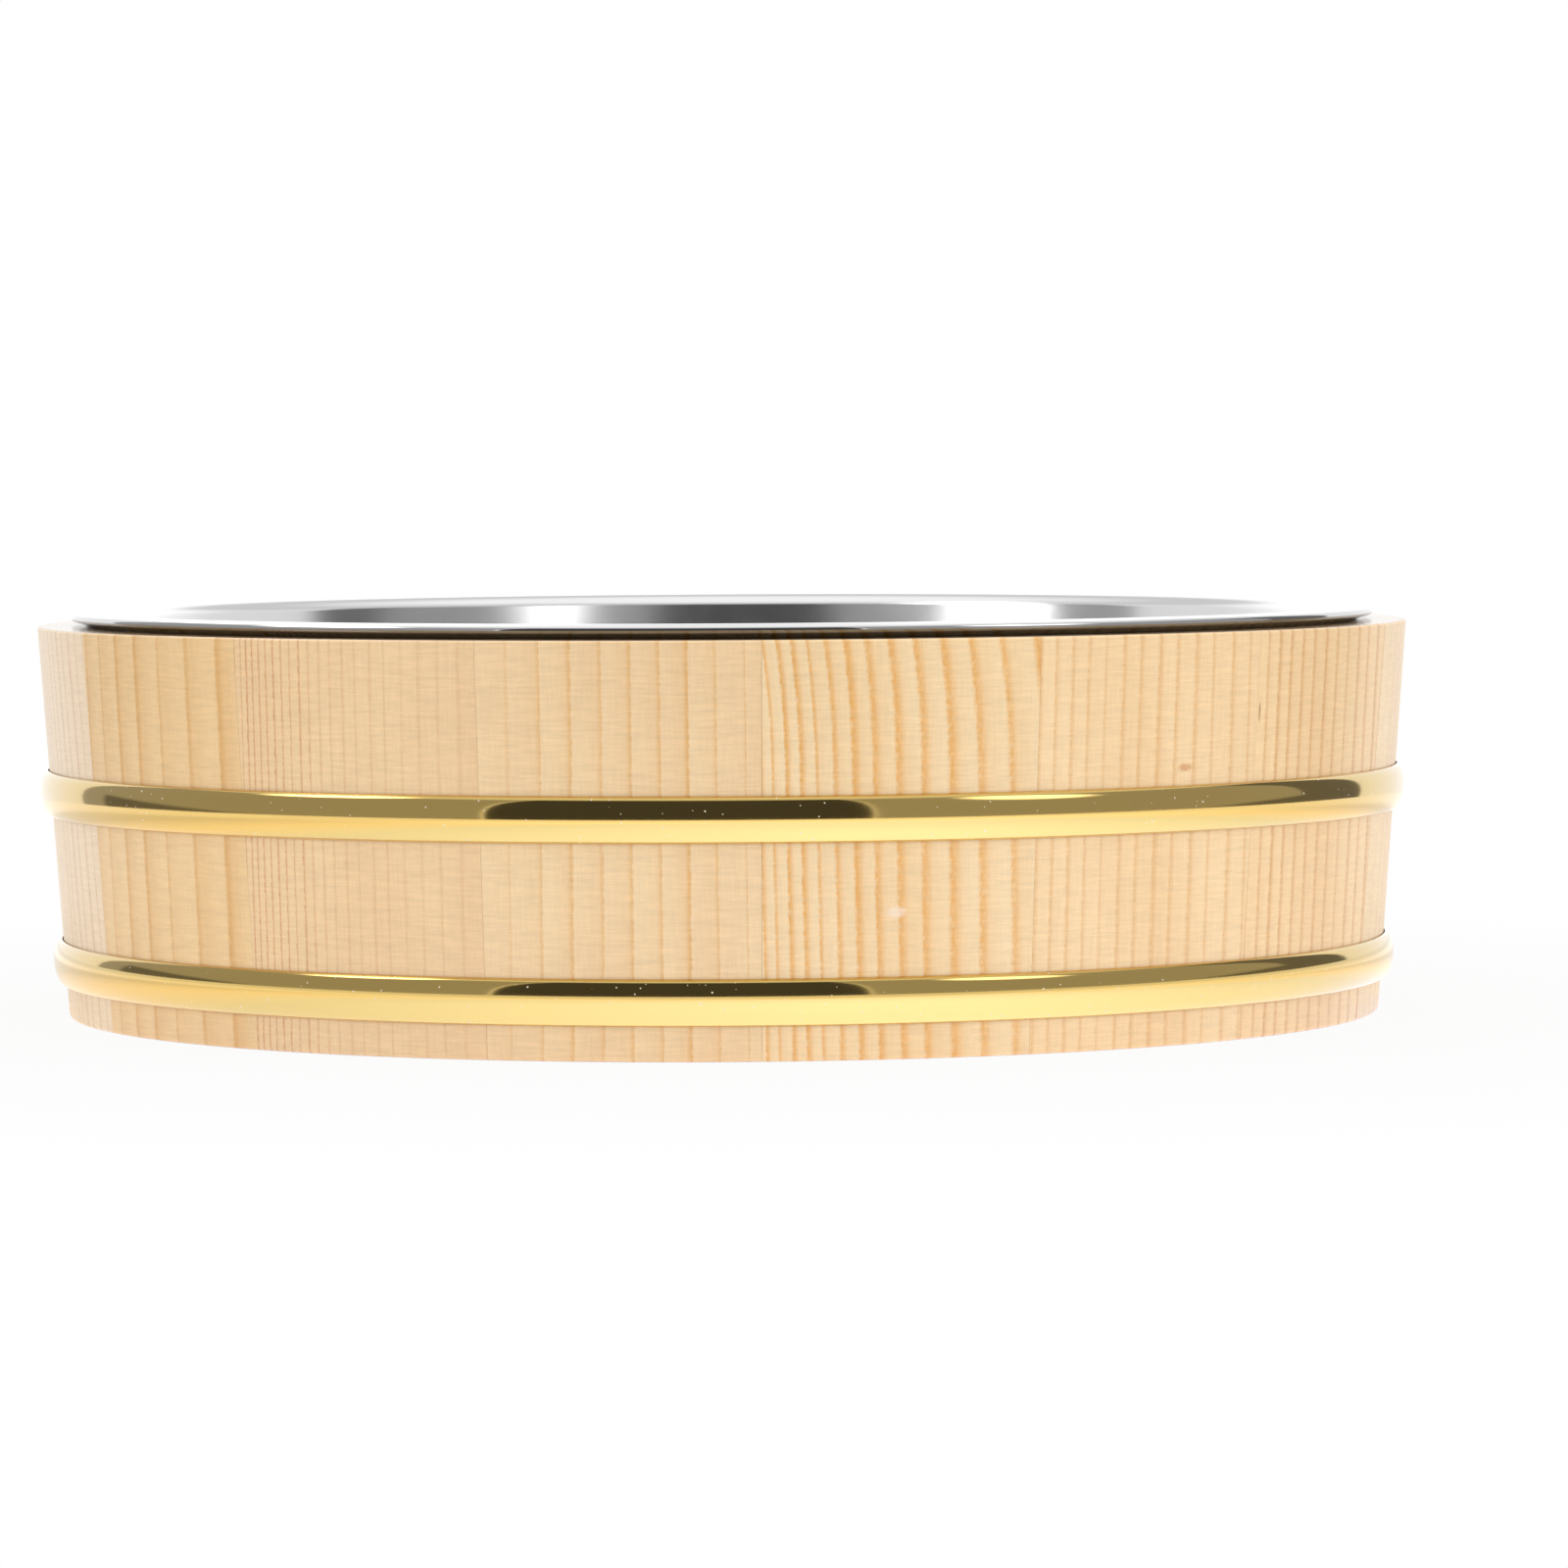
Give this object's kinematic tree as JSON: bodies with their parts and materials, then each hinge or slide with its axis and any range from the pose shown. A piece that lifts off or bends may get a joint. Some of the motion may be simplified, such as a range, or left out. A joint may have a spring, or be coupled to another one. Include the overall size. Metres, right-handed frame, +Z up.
{
  "type": "sushi rice tub",
  "caption": "Low coopered wooden tub with tapered staves, gold half-oval metal hoops and a polished steel drop-in pan whose rolled rim rests on the wall.",
  "frame": {"origin": "centre of the foot ring, on the plane that the tub stands on", "axes": "+Z up along the tub's axis; -Y is the front that faces the camera in the picture"},
  "size_m": [0.2498, 0.2498, 0.0735],
  "materials": {
    "pine": "pale resinous softwood, planed and sanded, thin satin lacquer",
    "bamboo": "split bamboo, raw",
    "gilt_brass": "polished, gold coloured",
    "stainless_steel": "mirror polished"
  },
  "bodies": {
    "tub": {"stave_01": "pine", "stave_02": "pine", "stave_03": "pine", "stave_04": "pine", "stave_05": "pine", "stave_06": "pine", "stave_07": "pine", "stave_08": "pine", "stave_09": "pine", "stave_10": "pine", "stave_11": "pine", "stave_12": "pine", "stave_13": "pine", "stave_14": "pine", "stave_15": "pine", "stave_16": "pine", "stave_peg_01": "bamboo", "stave_peg_02": "bamboo", "stave_peg_03": "bamboo", "stave_peg_04": "bamboo", "stave_peg_05": "bamboo", "stave_peg_06": "bamboo", "stave_peg_07": "bamboo", "stave_peg_08": "bamboo", "stave_peg_09": "bamboo", "stave_peg_10": "bamboo", "stave_peg_11": "bamboo", "stave_peg_12": "bamboo", "stave_peg_13": "bamboo", "stave_peg_14": "bamboo", "stave_peg_15": "bamboo", "stave_peg_16": "bamboo", "floor_board_1": "pine", "floor_board_2": "pine", "floor_board_3": "pine", "floor_peg_1": "bamboo", "floor_peg_2": "bamboo", "floor_peg_3": "bamboo", "floor_peg_4": "bamboo", "hoop_lower": "gilt_brass", "hoop_upper": "gilt_brass"},
    "pan": {"pan": "stainless_steel"}
  },
  "joints": [
    {"name": "pan_lift", "type": "slide", "parent": "tub", "child": "pan", "axis": [0, 0, 1], "range_m": [0, 0.06]}
  ]
}
